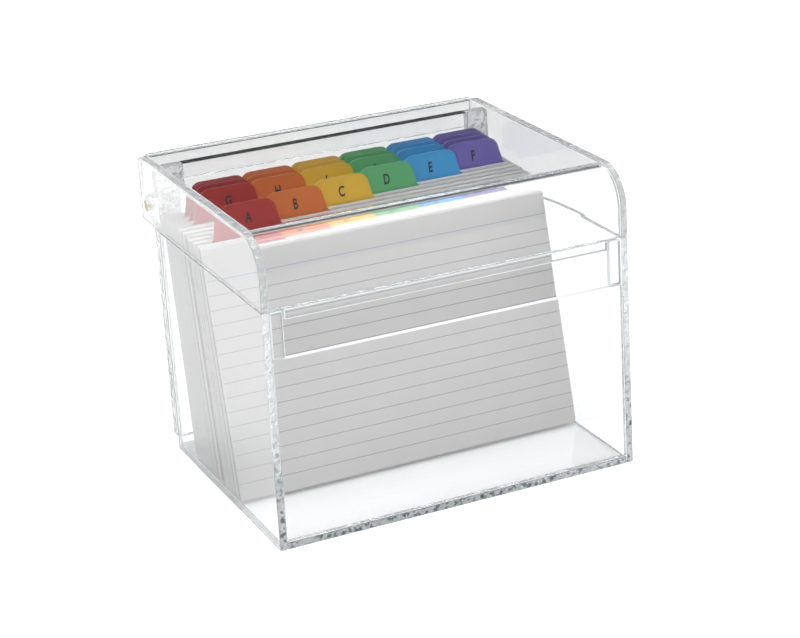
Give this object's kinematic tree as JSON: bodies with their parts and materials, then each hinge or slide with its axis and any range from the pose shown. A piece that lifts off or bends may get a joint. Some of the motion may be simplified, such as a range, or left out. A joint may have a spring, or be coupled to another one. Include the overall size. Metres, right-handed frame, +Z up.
{
  "type": "index card box",
  "caption": "Clear acrylic desk box for ruled index cards, with a hinged lid that curves down at the front and coloured letter-tab guides.",
  "frame": {"origin": "middle of the footprint, at the level the box stands on", "axes": "+Z up, +X along the cards' width, to the right seen from the front, -Y towards the front"},
  "size_m": [0.16, 0.137, 0.1285],
  "materials": {
    "clear_acrylic": "clear cast sheet with polished edges",
    "brass": "turned, satin",
    "card_stock": "uncoated card with ruled lines",
    "tab_red": "satin",
    "tab_orange": "satin",
    "tab_yellow": "satin",
    "tab_green": "satin",
    "tab_blue": "satin",
    "tab_purple": "satin"
  },
  "bodies": {
    "base": {"base_bottom": "clear_acrylic", "base_front_panel": "clear_acrylic", "base_rear_panel": "clear_acrylic", "base_left_side": "clear_acrylic", "base_right_side": "clear_acrylic", "front_left_post": "clear_acrylic", "front_right_post": "clear_acrylic", "hinge_back_plate": "clear_acrylic", "left_hinge_block": "clear_acrylic", "right_hinge_block": "clear_acrylic"},
    "lid": {"lid_curved_shell": "clear_acrylic", "lid_rear_strip": "clear_acrylic", "lid_front_lip": "clear_acrylic", "lid_left_cheek": "clear_acrylic", "lid_right_cheek": "clear_acrylic", "left_hinge_pin": "brass", "right_hinge_pin": "brass"},
    "front_cards": {"front_cards": "card_stock"},
    "section_a": {"guide_a": "tab_red", "cards_behind_a": "card_stock"},
    "section_b": {"guide_b": "tab_orange", "cards_behind_b": "card_stock"},
    "section_c": {"guide_c": "tab_yellow", "cards_behind_c": "card_stock"},
    "section_d": {"guide_d": "tab_green", "cards_behind_d": "card_stock"},
    "section_e": {"guide_e": "tab_blue", "cards_behind_e": "card_stock"},
    "guides_f_to_l": {"guide_f": "tab_purple", "guide_g": "tab_red", "guide_h": "tab_orange", "guide_i": "tab_yellow", "guide_j": "tab_green", "guide_k": "tab_blue", "guide_l": "tab_purple"},
    "guides_m_to_r": {"guide_m": "tab_red", "guide_n": "tab_orange", "guide_o": "tab_yellow", "guide_p": "tab_green", "guide_q": "tab_blue", "guide_r": "tab_purple"},
    "guides_s_to_x": {"guide_s": "tab_red", "guide_t": "tab_orange", "guide_u": "tab_yellow", "guide_v": "tab_green", "guide_w": "tab_blue", "guide_x": "tab_purple", "rear_cards": "card_stock"}
  },
  "joints": [
    {"name": "lid_hinge", "type": "hinge", "parent": "base", "child": "lid", "pos_m": [0, 0.0625, 0.1071], "axis": [-1, 0, 0], "range_deg": [0, 105]},
    {"name": "front_cards_tilt", "type": "hinge", "parent": "base", "child": "front_cards", "pos_m": [0, -0.0245, 0.0036], "axis": [1, 0, 0], "range_deg": [0, 35]},
    {"name": "section_a_tilt", "type": "hinge", "parent": "base", "child": "section_a", "pos_m": [0, -0.0157, 0.0036], "axis": [1, 0, 0], "range_deg": [0, 31.5]},
    {"name": "section_b_tilt", "type": "hinge", "parent": "base", "child": "section_b", "pos_m": [0, -0.01056, 0.0036], "axis": [1, 0, 0], "range_deg": [0, 28]},
    {"name": "section_c_tilt", "type": "hinge", "parent": "base", "child": "section_c", "pos_m": [0, -0.00542, 0.0036], "axis": [1, 0, 0], "range_deg": [0, 24.5]},
    {"name": "section_d_tilt", "type": "hinge", "parent": "base", "child": "section_d", "pos_m": [0, -0.00028, 0.0036], "axis": [1, 0, 0], "range_deg": [0, 21]},
    {"name": "section_e_tilt", "type": "hinge", "parent": "base", "child": "section_e", "pos_m": [0, 0.00486, 0.0036], "axis": [1, 0, 0], "range_deg": [0, 17.5]},
    {"name": "guides_f_to_l_tilt", "type": "hinge", "parent": "base", "child": "guides_f_to_l", "pos_m": [0, 0.01, 0.0036], "axis": [1, 0, 0], "range_deg": [0, 14]},
    {"name": "guides_m_to_r_tilt", "type": "hinge", "parent": "base", "child": "guides_m_to_r", "pos_m": [0, 0.01763, 0.0036], "axis": [1, 0, 0], "range_deg": [0, 10.5]},
    {"name": "guides_s_to_x_tilt", "type": "hinge", "parent": "base", "child": "guides_s_to_x", "pos_m": [0, 0.02417, 0.0036], "axis": [1, 0, 0], "range_deg": [0, 7]}
  ],
  "couplings": [
    {"joint": "section_a_tilt", "follows": "front_cards_tilt", "ratio": 0.9},
    {"joint": "section_b_tilt", "follows": "front_cards_tilt", "ratio": 0.8},
    {"joint": "section_c_tilt", "follows": "front_cards_tilt", "ratio": 0.7},
    {"joint": "section_d_tilt", "follows": "front_cards_tilt", "ratio": 0.6},
    {"joint": "section_e_tilt", "follows": "front_cards_tilt", "ratio": 0.5},
    {"joint": "guides_f_to_l_tilt", "follows": "front_cards_tilt", "ratio": 0.4},
    {"joint": "guides_m_to_r_tilt", "follows": "front_cards_tilt", "ratio": 0.3},
    {"joint": "guides_s_to_x_tilt", "follows": "front_cards_tilt", "ratio": 0.2}
  ]
}
